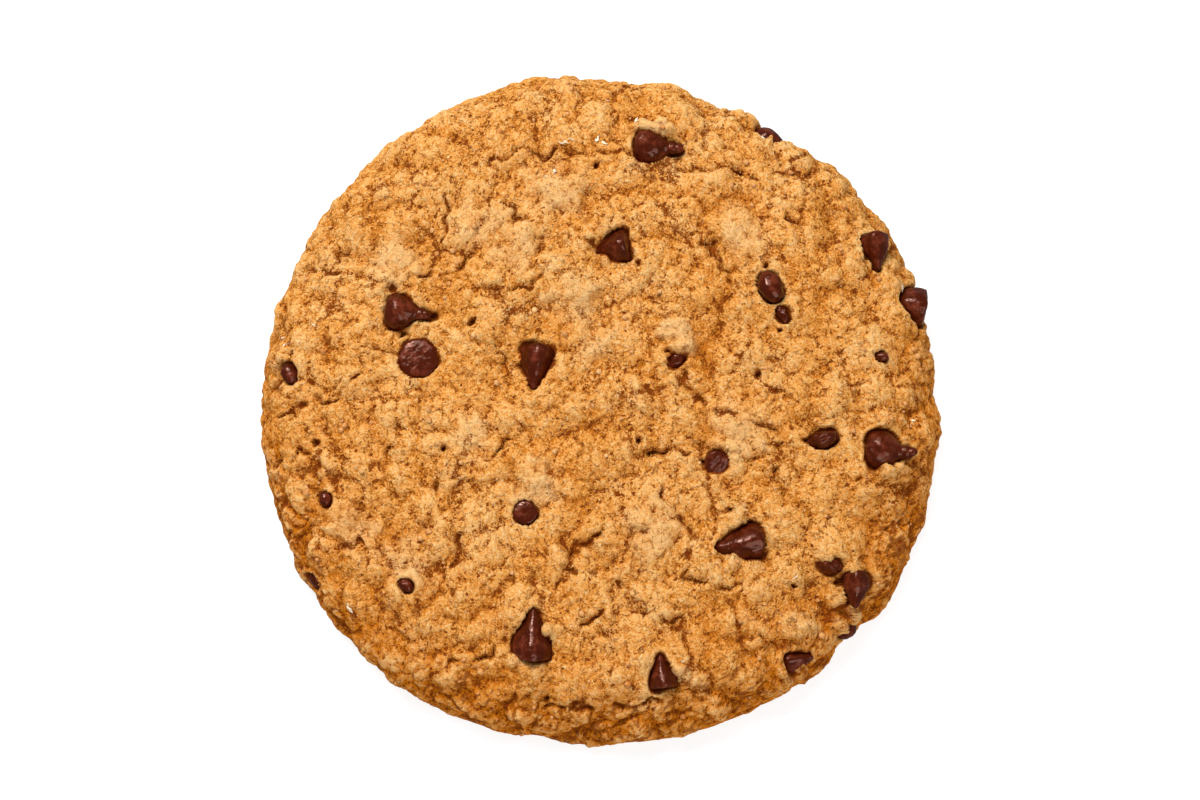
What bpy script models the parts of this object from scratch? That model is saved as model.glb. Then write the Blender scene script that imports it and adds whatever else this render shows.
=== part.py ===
"""A large round chocolate chip cookie: one baked dough solid, and the chocolate chips that sit in its pockets.

Metres, +Z up. The cookie lies flat with its craggy side up. The origin is the middle of its flat base, and the
edge that is nearest to the viewer of the photograph is at -Y.
"""

import math
from collections import namedtuple

import bmesh
import bpy
import numpy as np
from mathutils import Matrix, Vector, noise

# Size of the dough
COOKIE_RADIUS = 0.0557
DOUGH_HEIGHT = 0.0125
WAIST_HEIGHT = 0.0018
BASE_CURL = 0.0011
TOP_FLATNESS = 7.0
SHOULDER_ROUNDNESS = 2.2

# The outline isn't a true circle: (waves round the edge, their height, direction of one crest in degrees)
OUTLINE_WAVES = (
    (2, 0.00027, -36),
    (3, 0.00033, -8),
    (4, 0.00026, 34),
    (5, 0.00032, 34),
    (6, 0.00015, -23),
    (7, 0.00020, -18),
)
# Places where the edge is torn or pressed: (direction in degrees, half width in degrees, how far it stands out)
EDGE_FLAWS = (
    (326, 4.5, 0.0009),
    (317, 3.6, -0.0009),
    (309, 3.0, 0.0004),
    (260, 3.0, -0.0005),
    (54, 2.5, -0.0010),
    (45, 4.0, 0.0005),
)

# Relief of the baked crust: swells, plates with cracks between them, lumps, and the hollows that chips sit in
SWELL_SIZE, SWELL_HEIGHT = 0.015, 0.0006
PLATE_SIZE, PLATE_CRACK_DEPTH, PLATE_CRACK_WIDTH = 0.0120, 0.0013, 0.0020
LUMP_SIZE, LUMP_HEIGHT = 0.0062, 0.0019
WARP_SIZE, WARP_REACH = 0.0070, 0.0011
WARP_SEED = 11
CRACK_DEPTH, CRACK_WIDTH = 0.0017, 0.0014
HOLLOW_DEPTH, HOLLOW_REACH = 0.0007, 0.62
RELIEF_STARTS, RELIEF_FULL = 0.0004, 0.0040

# How the photograph shows the cookie: from above, tilted a little towards the viewer
PIXELS_PER_METRE = 6130.0
AIM_PIXEL = (598.8, 404.5)
AIM_HEIGHT = 0.0060
VIEW_TILT = math.radians(9.0)
VIEW_DISTANCE = 0.60

# The deepest cracks of the crust, each along a few pixels of the photograph
CRACKS = {
    "top_ledge": ((488, 163), (520, 151), (553, 150), (592, 146), (628, 152)),
    "top_right_ledge": ((680, 160), (745, 161), (772, 194), (803, 225)),
    "plate_left": ((444, 200), (447, 212), (441, 241)),
    "plate_right": ((506, 207), (530, 221), (545, 257), (534, 285), (513, 290)),
    "plate_below": ((371, 283), (414, 278), (447, 273), (481, 248)),
    "chip_lead_in": ((571, 230), (589, 246), (600, 245)),
    "left_edge_short": ((309, 267), (336, 273), (346, 245)),
    "left_long": ((272, 416), (310, 405), (334, 395), (363, 374)),
    "left_low": ((270, 461), (292, 455), (306, 450)),
    "left_centre": ((406, 424), (385, 450), (376, 470), (362, 481)),
    "low_left": ((318, 548), (344, 541), (380, 547), (390, 566)),
    "centre_slant": ((521, 424), (494, 453)),
    "centre_left_down": ((427, 472), (434, 496), (450, 518)),
    "low_left_down": ((463, 537), (451, 571)),
    "centre_short": ((640, 444), (650, 453), (683, 450)),
    "right_centre": ((667, 346), (686, 385), (706, 410), (760, 416), (785, 424)),
    "right_down": ((785, 424), (779, 460), (783, 495)),
    "right_of_middle": ((704, 235), (717, 262), (731, 279), (752, 283)),
    "low_right": ((662, 491), (687, 525), (687, 574), (711, 588), (740, 586)),
    "low_centre": ((622, 583), (602, 605), (577, 626)),
    "low_centre_up": ((613, 526), (577, 546), (572, 571)),
    "low_fold": ((642, 619), (672, 625), (700, 624)),
    "front_left_fold": ((448, 665), (479, 659), (504, 645)),
    "front_fold": ((523, 707), (554, 710), (600, 709), (640, 707), (680, 696)),
}

# Smooth pale mounds that stand over the crust round them: (pixel at the middle, radius)
MOUNDS = (
    ((389, 260), 0.0042),
    ((481, 222), 0.0040),
    ((512, 247), 0.0040),
    ((557, 190), 0.0046),
    ((739, 233), 0.0040),
    ((681, 333), 0.0026),
    ((600, 340), 0.0034),
    ((468, 434), 0.0036),
    ((737, 430), 0.0046),
    ((538, 484), 0.0036),
    ((648, 525), 0.0046),
    ((405, 562), 0.0040),
    ((352, 524), 0.0036),
    ((572, 300), 0.0038),
)
MOUND_HEIGHT = 0.0007

# Turned chips, from the middle of the base to the tip: (radius, height), as shares of the width. A drop has a
# round body and a narrow tip, a cone has straighter sides, and a button has hardly any tip.
DROP = (
    (0.0, 0.0), (0.38, 0.0), (0.49, 0.14), (0.49, 0.38), (0.36, 0.62), (0.18, 0.80), (0.13, 1.04), (0.10, 1.16),
    (0.0, 1.22),
)
CONE = ((0.0, 0.0), (0.45, 0.0), (0.50, 0.12), (0.46, 0.38), (0.34, 0.66), (0.18, 0.93), (0.11, 1.12), (0.0, 1.2))
BODY_MIDDLE = 0.35
BUTTON = ((0.0, 0.0), (0.46, 0.0), (0.50, 0.10), (0.44, 0.42), (0.22, 0.62), (0.0, 0.68))
KNOB_RINGS = 6
KNOB_LENGTH = 1.35
CHIP_SIDES = 12
SMALL_CHIP_SIDES = 9
SMALL_CHIP = 0.0041
POCKET_GAP = 0.00032

# Each chip: its form, the photograph's pixel at its middle, its width, the direction of its tip in degrees
# anticlockwise from the right, how steeply the tip points up, and how deep its middle lies under the crust.
# A chip in the side wall has the height of its middle over the base instead.
Chip = namedtuple("Chip", "form at width turn lean depth height", defaults=(None,))
CHIPS = (
    Chip("drop", (650, 147), 0.0064, -6, 12, 0.0010),
    Chip("cone", (618, 247), 0.0058, 189, -16, 0.0013),
    Chip("drop", (400, 312), 0.0060, -8, 11, 0.0008),
    Chip("button", (418, 358), 0.0067, 0, -88, -0.0006),
    Chip("cone", (537, 361), 0.0062, -97, 14, 0.0011),
    Chip("knob", (290, 374), 0.0029, -62, 0, 0.0002),
    Chip("knob", (325, 499), 0.0020, -80, 0, 0.0002),
    Chip("knob", (406, 586), 0.0020, -35, 0, 0.0002),
    Chip("button", (525, 512), 0.0039, 20, -85, -0.0003),
    Chip("cone", (532, 644), 0.0070, 87, 14, 0.0010),
    Chip("cone", (663, 678), 0.0047, 98, 4, 0.0009),
    Chip("cone", (793, 660), 0.0041, 8, 12, 0.0010),
    Chip("cone", (856, 584), 0.0050, -94, 12, 0.0008),
    Chip("cone", (747, 543), 0.0065, 190, 14, 0.0011),
    Chip("button", (717, 463), 0.0040, 90, -68, -0.0001),
    Chip("shard", (823, 438), 0.0036, 15, 0, 0.0002),
    Chip("drop", (882, 450), 0.0069, -7, 13, 0.0009),
    Chip("knob", (677, 360), 0.0028, 50, 10, 0.0003),
    Chip("knob", (771, 287), 0.0041, -62, 0, 0.0003),
    Chip("shard", (783, 315), 0.0024, -60, 0, 0.0002),
    Chip("cone", (875, 246), 0.0050, -84, 12, 0.0006),
    Chip("cone", (911, 306), 0.0068, 170, 4, 0.0, 0.0054),
    Chip("knob", (881, 357), 0.0018, 0, 20, 0.0001),
    Chip("knob", (768, 141), 0.0042, -35, 0, 0.0, 0.0050),
    Chip("shard", (831, 565), 0.0031, -14, 0, 0.0006),
    Chip("knob", (847, 630), 0.0028, 40, 0, 0.0, 0.0054),
    Chip("knob", (317, 579), 0.0024, -58, 0, 0.0, 0.0048),
)

# Resolution of the dough's faces
TOP_FACES_ACROSS = 59
PROFILE_STEPS = 400

DOUGH_COLOUR = (0.60, 0.275, 0.075, 1.0)
CHOCOLATE_COLOUR = (0.085, 0.022, 0.010, 1.0)


def remove_everything():
    """Clears the scene that the script starts in."""
    for old in list(bpy.data.objects):
        bpy.data.objects.remove(old, do_unlink=True)


def material(name, colour, roughness):
    """A plain food surface of one colour."""
    made = bpy.data.materials.new(name)
    made.use_nodes = True
    shader = made.node_tree.nodes["Principled BSDF"]
    shader.inputs["Base Color"].default_value = colour
    shader.inputs["Roughness"].default_value = roughness
    shader.inputs["Metallic"].default_value = 0.0
    made.diffuse_color = colour
    return made


def from_photograph(pixel, height):
    """The (x, y) of what the photograph shows at a pixel, if it lies at this height over the base."""
    right = (pixel[0] - AIM_PIXEL[0]) / PIXELS_PER_METRE
    up = (AIM_PIXEL[1] - pixel[1]) / PIXELS_PER_METRE
    over_aim = height - AIM_HEIGHT
    tilt_sine, tilt_cosine = math.sin(VIEW_TILT), math.cos(VIEW_TILT)
    level_share = (VIEW_DISTANCE - over_aim * tilt_cosine) / VIEW_DISTANCE
    y = (up * level_share - over_aim * tilt_sine) / (tilt_cosine - up * tilt_sine / VIEW_DISTANCE)
    nearness = level_share + y * tilt_sine / VIEW_DISTANCE
    return right * nearness, y


def edge_radius(angles):
    """Radius of the cookie's waist in each direction, with its waves and flaws."""
    radius = np.full_like(angles, COOKIE_RADIUS)
    for waves, height, crest in OUTLINE_WAVES:
        radius += height * np.cos(waves * (angles - math.radians(crest)))
    for direction, half_width, height in EDGE_FLAWS:
        away = (np.degrees(angles) - direction + 180) % 360 - 180
        radius += height * np.exp(-((away / half_width) ** 4))
    return radius


def side_profile():
    """The dough's outline from the middle of its top to the edge of its base: share of the way, radius, height.

    Radii are shares of the waist's radius. The steps are even along the curve.
    """
    turn = np.linspace(0, math.pi / 2, PROFILE_STEPS)
    radius = np.sin(turn) ** (2 / TOP_FLATNESS)
    height = WAIST_HEIGHT + (DOUGH_HEIGHT - WAIST_HEIGHT) * np.cos(turn) ** (2 / SHOULDER_ROUNDNESS)
    curl = np.linspace(0, math.pi / 2, PROFILE_STEPS // 8)[1:]
    radius = np.concatenate([radius, 1 - BASE_CURL / COOKIE_RADIUS * (1 - np.cos(curl))])
    height = np.concatenate([height, WAIST_HEIGHT * (1 - np.sin(curl))])
    steps = np.hypot(np.diff(radius) * COOKIE_RADIUS, np.diff(height))
    way = np.concatenate([[0], np.cumsum(steps)])
    return way / way[-1], radius, height


def form_points(shares, angles):
    """Points of the plain cookie form and its outward normals, share of the way down from the top's middle."""
    way, radius, height = side_profile()
    nudge = 0.002
    before, after = np.clip(shares - nudge, 0, 1), np.clip(shares + nudge, 0, 1)
    run = (np.interp(after, way, radius) - np.interp(before, way, radius)) * COOKIE_RADIUS
    fall = np.interp(before, way, height) - np.interp(after, way, height)
    length = np.maximum(np.hypot(run, fall), 1e-9)
    reach = np.interp(shares, way, radius) * edge_radius(angles)
    points = np.stack([reach * np.cos(angles), reach * np.sin(angles), np.interp(shares, way, height)], axis=1)
    normals = np.stack([fall / length * np.cos(angles), fall / length * np.sin(angles), run / length], axis=1)
    return points, normals


def form_height(x, y):
    """Height of the plain form's top over a point of the base."""
    _, radius, height = side_profile()
    share = math.hypot(x, y) / edge_radius(np.array([math.atan2(y, x)]))[0]
    top = np.argmax(radius)
    return float(np.interp(share, radius[: top + 1], height[: top + 1]))


def soft_noise(points, size):
    """Smooth noise of about -1 to 1, with features of this size."""
    return np.array([noise.noise(Vector(p)) for p in points / size])


def cells(points, size):
    """Distances to the nearest and second nearest of scattered cell centres, in cell sizes."""
    found = np.array([noise.voronoi(Vector(p))[0][:2] for p in points / size])
    return found[:, 0], found[:, 1]


def warped(points):
    """The points moved about a little, the same each time, so that cracks and lumps don't run straight."""
    noise.seed_set(WARP_SEED)
    pushes = np.array([noise.noise_vector(Vector(p)) for p in points / WARP_SIZE])
    return points + pushes * WARP_REACH


def crack_distance(points):
    """Distance from each point to the nearest named crack, seen from above."""
    nearest = np.full(len(points), 1.0)
    for way in CRACKS.values():
        corners = [np.array(from_photograph(pixel, DOUGH_HEIGHT)) for pixel in way]
        for start, end in zip(corners, corners[1:]):
            along = end - start
            share = np.clip((points[:, :2] - start) @ along / (along @ along), 0, 1)
            gap = points[:, :2] - start - share[:, None] * along
            nearest = np.minimum(nearest, np.hypot(gap[:, 0], gap[:, 1]))
    return nearest


def crust_relief(points):
    """How far the baked crust stands out of the plain form at each of its points, apart from the chips' hollows."""
    moved = warped(points)
    near_plate, next_plate = cells(moved, PLATE_SIZE)
    near_lump, _ = cells(moved, LUMP_SIZE)
    openness = np.clip(0.5 + 1.2 * soft_noise(points, SWELL_SIZE / 2), 0, 1)
    seam = (next_plate - near_plate) * PLATE_SIZE / PLATE_CRACK_WIDTH
    height = SWELL_HEIGHT * soft_noise(points, SWELL_SIZE)
    height += LUMP_HEIGHT * (0.45 - near_lump)
    height -= PLATE_CRACK_DEPTH * openness * np.exp(-(seam**2))
    height -= CRACK_DEPTH * np.exp(-((crack_distance(moved) / CRACK_WIDTH) ** 2))
    for pixel, radius in MOUNDS:
        middle = np.array(from_photograph(pixel, DOUGH_HEIGHT))
        away = np.linalg.norm(moved[:, :2] - middle, axis=1) / radius
        height += MOUND_HEIGHT * np.exp(-(away**4))
    fade = np.clip((points[:, 2] - RELIEF_STARTS) / (RELIEF_FULL - RELIEF_STARTS), 0, 1)
    return height * fade


def relief(points):
    """How far the crust stands out of the plain form at each of its points."""
    height = crust_relief(points)
    for chip in CHIPS:
        if chip.height is None:
            middle = np.array(from_photograph(chip.at, DOUGH_HEIGHT))
            away = np.linalg.norm(points[:, :2] - middle, axis=1) / (HOLLOW_REACH * chip.width)
            height -= HOLLOW_DEPTH * np.exp(-(away**4))
    return height


def square_to_disc(squares):
    """Polar places on a round disc for points of a square from -1 to 1, with even spacing: radius, angle."""
    x, y = squares[:, 0], squares[:, 1]
    sideways = np.abs(x) >= np.abs(y)
    longer = np.where(sideways, x, y)
    shorter = np.where(sideways, y, x)
    slant = math.pi / 4 * shorter / np.where(longer == 0, 1, longer)
    angle = np.where(sideways, slant, math.pi / 2 - slant) + np.where(longer < 0, math.pi, 0)
    return np.abs(longer), angle


def linked_object(name, shape, surface):
    """An object in the scene that shows this bmesh, smooth where it is round."""
    mesh = bpy.data.meshes.new(name)
    shape.to_mesh(mesh)
    shape.free()
    mesh.materials.append(surface)
    mesh.shade_smooth()
    mesh.set_sharp_from_angle(angle=math.radians(60))
    made = bpy.data.objects.new(name, mesh)
    bpy.context.scene.collection.objects.link(made)
    return made


def make_dough(surface):
    """The baked dough: a domed, craggy top and side in one sheet, closed by a flat base."""
    shape = bmesh.new()
    bmesh.ops.create_grid(shape, x_segments=TOP_FACES_ACROSS, y_segments=TOP_FACES_ACROSS, size=1.0)
    squares = np.array([vertex.co[:2] for vertex in shape.verts])
    points, normals = form_points(*square_to_disc(squares))
    points += normals * relief(points)[:, None]
    for vertex, point in zip(shape.verts, points):
        vertex.co = point
    rim = [edge for edge in shape.edges if edge.is_boundary]
    bmesh.ops.holes_fill(shape, edges=rim, sides=0)
    bmesh.ops.recalc_face_normals(shape, faces=shape.faces)
    return linked_object("dough", shape, surface)


def turned(profile, width, sides):
    """A closed shape turned round Z from (radius, height) pairs that start and end on the axis."""
    shape = bmesh.new()
    rings = []
    for radius, height in profile:
        count = sides if radius > 0 else 1
        spots = [2 * math.pi * step / count for step in range(count)]
        rings.append([
            shape.verts.new((radius * width * math.cos(a), radius * width * math.sin(a), height * width)) for a in spots
        ])
    for lower, upper in zip(rings, rings[1:]):
        for step in range(sides):
            after = (step + 1) % sides
            corners = [lower[step % len(lower)], lower[after % len(lower)]]
            corners += [upper[after % len(upper)], upper[step % len(upper)]]
            shape.faces.new(list(dict.fromkeys(corners)))
    bmesh.ops.recalc_face_normals(shape, faces=shape.faces)
    return shape


def knob_profile():
    """The profile of an egg-shaped chip of which only a bump shows, from end to end, about its middle."""
    turns = [math.pi * step / KNOB_RINGS for step in range(KNOB_RINGS + 1)]
    ends = (0, KNOB_RINGS)
    return [
        (0.0 if step in ends else 0.5 * math.sin(turn), -0.5 * KNOB_LENGTH * math.cos(turn))
        for step, turn in enumerate(turns)
    ]


def shard(width):
    """A broken, angular piece of a chip, longest along Z."""
    shape = bmesh.new()
    bmesh.ops.create_icosphere(shape, subdivisions=2, radius=0.5 * width)
    for vertex in shape.verts:
        vertex.co *= 1 + 0.35 * noise.noise(vertex.co / (0.5 * width) + Vector((width * 900, 0, 0)))
        vertex.co.x *= 0.75
        vertex.co.z *= 1.25
    return shape


def chip_shape(chip):
    """The chip's own shape, its tip along +Z and its middle at the origin."""
    sides = SMALL_CHIP_SIDES if chip.width < SMALL_CHIP else CHIP_SIDES
    if chip.form == "shard":
        return shard(chip.width)
    profiles = {"drop": DROP, "cone": CONE, "button": BUTTON, "knob": knob_profile()}
    shape = turned(profiles[chip.form], chip.width, sides)
    if chip.form in ("drop", "cone"):
        bmesh.ops.translate(shape, verts=shape.verts, vec=(0, 0, -BODY_MIDDLE * chip.width))
    return shape


def chip_place(chip):
    """Where the chip's middle lies and which way its tip points, as a matrix."""
    height = chip.height
    if height is None:
        x, y = from_photograph(chip.at, DOUGH_HEIGHT)
        height = form_height(x, y)
        x, y = from_photograph(chip.at, height)
        height += float(crust_relief(np.array([[x, y, height]]))[0]) - chip.depth
    x, y = from_photograph(chip.at, height)
    turn, lean = math.radians(chip.turn), math.radians(chip.lean)
    tip = Vector((math.cos(turn) * math.cos(lean), math.sin(turn) * math.cos(lean), math.sin(lean)))
    return Matrix.Translation((x, y, height)) @ tip.to_track_quat("Z", "Y").to_matrix().to_4x4()


def make_chip(name, chip, surface):
    """One chocolate chip where it sits in the dough."""
    made = linked_object(name, chip_shape(chip), surface)
    made.matrix_world = chip_place(chip)
    return made


def make_pocket(chip_object, pockets, surface):
    """The hollow that a chip leaves in the dough: its own shape, larger by the gap all round."""
    shape = bmesh.new()
    shape.from_mesh(chip_object.data)
    shape.normal_update()
    for vertex in shape.verts:
        vertex.co += vertex.normal * POCKET_GAP * vertex.calc_shell_factor()
    pocket = linked_object("pocket_of_" + chip_object.name, shape, surface)
    pocket.matrix_world = chip_object.matrix_world
    bpy.context.scene.collection.objects.unlink(pocket)
    pockets.objects.link(pocket)
    pocket.hide_render = True
    pocket.display_type = "WIRE"


def cut_pockets(dough, pockets):
    """Takes every pocket out of the dough."""
    cut = dough.modifiers.new("pockets", "BOOLEAN")
    cut.operation = "DIFFERENCE"
    cut.operand_type = "COLLECTION"
    cut.collection = pockets
    cut.solver = "EXACT"


def main():
    remove_everything()
    crust = material("baked_dough", DOUGH_COLOUR, 0.85)
    chocolate = material("chocolate", CHOCOLATE_COLOUR, 0.40)
    dough = make_dough(crust)
    pockets = bpy.data.collections.new("pockets")
    bpy.context.scene.collection.children.link(pockets)
    for number, chip in enumerate(CHIPS, start=1):
        chip_object = make_chip(f"chip_{number:02d}", chip, chocolate)
        make_pocket(chip_object, pockets, chocolate)
    cut_pockets(dough, pockets)


main()
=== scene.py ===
"""A large round chocolate chip cookie, baked brown, lying flat on a white floor with its craggy side up.

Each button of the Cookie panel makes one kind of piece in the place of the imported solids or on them: the
dough's crust, the chocolate chips, the crumbs, the flakes, and the studio round them. Metres, +Z up, -Y
towards the viewer.
"""

import math
from collections import namedtuple

import bmesh
import bpy
import numpy as np
from bpy.props import FloatProperty, FloatVectorProperty, IntProperty, PointerProperty
from bpy.types import Operator, Panel, PropertyGroup
from mathutils import Matrix, Vector, noise
from mathutils.bvhtree import BVHTree


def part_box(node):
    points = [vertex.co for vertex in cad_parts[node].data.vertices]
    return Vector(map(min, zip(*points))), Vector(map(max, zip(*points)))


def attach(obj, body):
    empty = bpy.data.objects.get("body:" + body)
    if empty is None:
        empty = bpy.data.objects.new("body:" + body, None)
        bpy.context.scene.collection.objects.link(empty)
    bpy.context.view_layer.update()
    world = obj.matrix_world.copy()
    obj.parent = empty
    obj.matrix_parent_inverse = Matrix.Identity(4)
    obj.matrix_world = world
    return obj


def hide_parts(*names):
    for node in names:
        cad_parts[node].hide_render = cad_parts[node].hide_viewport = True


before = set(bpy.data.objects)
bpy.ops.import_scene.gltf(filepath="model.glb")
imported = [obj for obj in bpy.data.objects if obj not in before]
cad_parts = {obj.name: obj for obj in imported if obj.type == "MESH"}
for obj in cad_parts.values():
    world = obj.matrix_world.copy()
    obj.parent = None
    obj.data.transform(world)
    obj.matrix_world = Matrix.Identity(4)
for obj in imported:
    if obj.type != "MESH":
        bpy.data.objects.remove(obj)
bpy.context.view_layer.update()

bl_info = {
    "name": "Chocolate Chip Cookie",
    "version": (1, 0, 0),
    "blender": (4, 5, 0),
    "location": "3D View > Sidebar > Cookie",
    "description": "Builds a baked chocolate chip cookie with its crust, chips and crumbs",
    "category": "Object",
}

# Plain form of the dough, as in its solid
COOKIE_RADIUS = 0.0557
DOUGH_HEIGHT = 0.0125
WAIST_HEIGHT = 0.0018
BASE_CURL = 0.0011
TOP_FLATNESS = 7.0
SHOULDER_ROUNDNESS = 2.2
PROFILE_STEPS = 400

# The outline isn't a true circle: (waves round the edge, their height, direction of one crest in degrees)
OUTLINE_WAVES = (
    (2, 0.00027, -36),
    (3, 0.00033, -8),
    (4, 0.00026, 34),
    (5, 0.00032, 34),
    (6, 0.00015, -23),
    (7, 0.00020, -18),
)
# Torn or pressed places of the edge: (direction in degrees, half width in degrees, how far it stands out)
EDGE_FLAWS = (
    (326, 4.5, 0.0009),
    (317, 3.6, -0.0009),
    (309, 3.0, 0.0004),
    (260, 3.0, -0.0005),
    (54, 2.5, -0.0010),
    (45, 4.0, 0.0005),
)

# How the photograph shows the cookie: from above, tilted a little towards the viewer
PIXELS_PER_METRE = 6130.0
FRAME_WIDTH, FRAME_HEIGHT = 1200, 800
AIM_PIXEL = (598.8, 404.5)
AIM_HEIGHT = 0.0060
VIEW_TILT = math.radians(9.0)
VIEW_DISTANCE = 0.60
SENSOR_WIDTH = 36.0

# Large relief of the crust, as in the dough's solid but with finer edges
SWELL_SIZE, SWELL_HEIGHT = 0.015, 0.0006
PLATE_SIZE, PLATE_SEAM_WIDTH = 0.0120, 0.0008
LUMP_SIZE, LUMP_LEVEL = 0.0062, 0.45
WARP_SIZE, WARP_REACH = 0.0070, 0.0011
WARP_SEED = 11
CRACK_WIDTH = 0.00048
MOUND_HEIGHT = 0.0007
# Height over the base where relief starts, and the heights over which the large and the fine relief grow full
RELIEF_STARTS, RELIEF_BAND, BASE_BAND = 0.0004, 0.0036, 0.0012
# How seams, cracks and the trenches round chips come and go: (usual openness, how far it changes)
SEAM_OPENNESS, CRACK_OPENNESS, TRENCH_OPENNESS = (0.5, 1.2), (0.70, 1.8), (0.20, 2.2)

# Fine relief that only the crust has: nodules of crumb pressed together, with granules on them
NODULE_SIZE, GRANULE_SIZE = 0.0026, 0.0013
NODULE_RADII, NODULE_LIFT, NODULE_SLOPE, NODULE_LEVEL = (0.50, 0.86), 0.30, 0.2, 0.55
MOUND_SMOOTHNESS = 0.45
JITTER_SIZE, JITTER_REACH = 0.0020, 0.0008
CREASE_WIDTH = 0.10
# The masks of fine and broad height: how many points they are averaged over, and the height that spans them
FINE_BLUR, FINE_SPAN = 2, 0.0003
BROAD_BLUR, BROAD_SPAN = 8, 0.0016
# Browned at the sides of the rim, low on the side wall and in blotches, with painted shading: darker towards
# the viewer, lighter behind
RIM_STARTS, RIM_BROWNING, FRONT_PAINTED_SHADING = 0.70, 0.27, 0.65
LOW_HEIGHT, LOW_BAND, LOW_BROWNING = 0.0095, 0.0080, 0.50
BLOTCH_BROWNING, LUMP_BROWNING, TILT_PAINTED_SHADING = 0.35, 0.25, 0.10

# The deepest cracks of the crust, each along a few pixels of the photograph
CRACKS = {
    "top_ledge": ((488, 163), (520, 151), (553, 150), (592, 146), (628, 152)),
    "top_right_ledge": ((680, 160), (745, 161), (772, 194), (803, 225)),
    "plate_left": ((444, 200), (447, 212), (441, 241)),
    "plate_right": ((506, 207), (530, 221), (545, 257), (534, 285), (513, 290)),
    "plate_below": ((371, 283), (414, 278), (447, 273), (481, 248)),
    "chip_lead_in": ((571, 230), (589, 246), (600, 245)),
    "left_edge_short": ((309, 267), (336, 273), (346, 245)),
    "left_long": ((272, 416), (310, 405), (334, 395), (363, 374)),
    "left_low": ((270, 461), (292, 455), (306, 450)),
    "left_centre": ((406, 424), (385, 450), (376, 470), (362, 481)),
    "low_left": ((318, 548), (344, 541), (380, 547), (390, 566)),
    "centre_slant": ((521, 424), (494, 453)),
    "centre_left_down": ((427, 472), (434, 496), (450, 518)),
    "low_left_down": ((463, 537), (451, 571)),
    "centre_short": ((640, 444), (650, 453), (683, 450)),
    "right_centre": ((667, 346), (686, 385), (706, 410), (760, 416), (785, 424)),
    "right_down": ((785, 424), (779, 460), (783, 495)),
    "right_of_middle": ((704, 235), (717, 262), (731, 279), (752, 283)),
    "low_right": ((662, 491), (687, 525), (687, 574), (711, 588), (740, 586)),
    "low_centre": ((622, 583), (602, 605), (577, 626)),
    "low_centre_up": ((613, 526), (577, 546), (572, 571)),
    "low_fold": ((642, 619), (672, 625), (700, 624)),
    "front_left_fold": ((448, 665), (479, 659), (504, 645)),
    "front_fold": ((523, 707), (554, 710), (600, 709), (640, 707), (680, 696)),
}
# Smooth pale mounds that stand over the crust round them: (pixel at the middle, radius)
MOUNDS = (
    ((389, 260), 0.0042),
    ((481, 222), 0.0040),
    ((512, 247), 0.0040),
    ((557, 190), 0.0046),
    ((739, 233), 0.0040),
    ((681, 333), 0.0026),
    ((600, 340), 0.0034),
    ((468, 434), 0.0036),
    ((737, 430), 0.0046),
    ((538, 484), 0.0036),
    ((648, 525), 0.0046),
    ((405, 562), 0.0040),
    ((352, 524), 0.0036),
    ((572, 300), 0.0038),
)
# Dark open holes in the crust: (pixel, radius)
HOLES = (
    ((391, 288), 0.0009),
    ((402, 332), 0.0006),
    ((434, 315), 0.0007),
    ((552, 355), 0.0006),
    ((639, 263), 0.0005),
    ((599, 250), 0.0004),
    ((291, 351), 0.0004),
    ((657, 670), 0.0005),
    ((843, 581), 0.0008),
    ((751, 522), 0.0006),
    ((703, 461), 0.0004),
    ((807, 440), 0.0004),
    ((669, 351), 0.0004),
    ((770, 300), 0.0005),
    ((867, 252), 0.0006),
    ((844, 644), 0.0006),
    ((314, 442), 0.0007),
    ((444, 448), 0.0005),
    ((472, 321), 0.0006),
    ((546, 701), 0.0005),
    ((732, 510), 0.0004),
    ((758, 373), 0.0006),
    ((780, 331), 0.0004),
    ((638, 440), 0.0006),
    ((795, 585), 0.0005),
    ((767, 265), 0.0006),
    ((596, 163), 0.0005),
)
HOLE_DEPTH = 0.0016
# Lumps of dough that lap over the edge of a chip: (pixel, radius, height, paleness)
LAPS = (
    ((645, 124), 0.0015, 0.0017, 0.9),
    ((657, 126), 0.0014, 0.0019, 1.0),
    ((668, 131), 0.0009, 0.0013, 0.7),
    ((605, 259), 0.0009, 0.0008, 0.0),
    ((424, 324), 0.0008, 0.0009, 0.4),
    ((546, 630), 0.0011, 0.0014, 0.3),
    ((512, 657), 0.0013, 0.0012, 0.2),
    ((682, 672), 0.0015, 0.0011, 0.8),
    ((785, 672), 0.0011, 0.0012, 0.0),
    ((804, 669), 0.0012, 0.0012, 0.0),
    ((858, 566), 0.0015, 0.0012, 0.2),
    ((734, 561), 0.0012, 0.0009, 0.2),
    ((756, 567), 0.0010, 0.0008, 0.0),
    ((887, 469), 0.0013, 0.0016, 0.1),
    ((901, 465), 0.0011, 0.0011, 0.3),
    ((681, 345), 0.0014, 0.0009, 0.9),
    ((861, 250), 0.0009, 0.0011, 0.0),
    ((826, 553), 0.0015, 0.0008, 0.6),
    ((841, 621), 0.0014, 0.0014, 0.0),
    ((857, 614), 0.0014, 0.0013, 0.0),
    ((770, 133), 0.0008, 0.0008, 0.2),
)

# Turned chips, from the middle of the base to the tip: (radius, height), as shares of the width. A drop has a
# round body and a narrow tip, a cone has straighter sides, and a button has hardly any tip.
DROP = (
    (0.0, 0.0), (0.38, 0.0), (0.49, 0.14), (0.49, 0.38), (0.36, 0.62),
    (0.18, 0.80), (0.13, 1.04), (0.10, 1.16), (0.0, 1.22),
)
CONE = (
    (0.0, 0.0), (0.45, 0.0), (0.50, 0.12), (0.46, 0.38),
    (0.34, 0.66), (0.18, 0.93), (0.11, 1.12), (0.0, 1.2),
)
BODY_MIDDLE = 0.35
BUTTON = ((0.0, 0.0), (0.46, 0.0), (0.50, 0.10), (0.44, 0.42), (0.22, 0.62), (0.0, 0.68))
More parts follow.
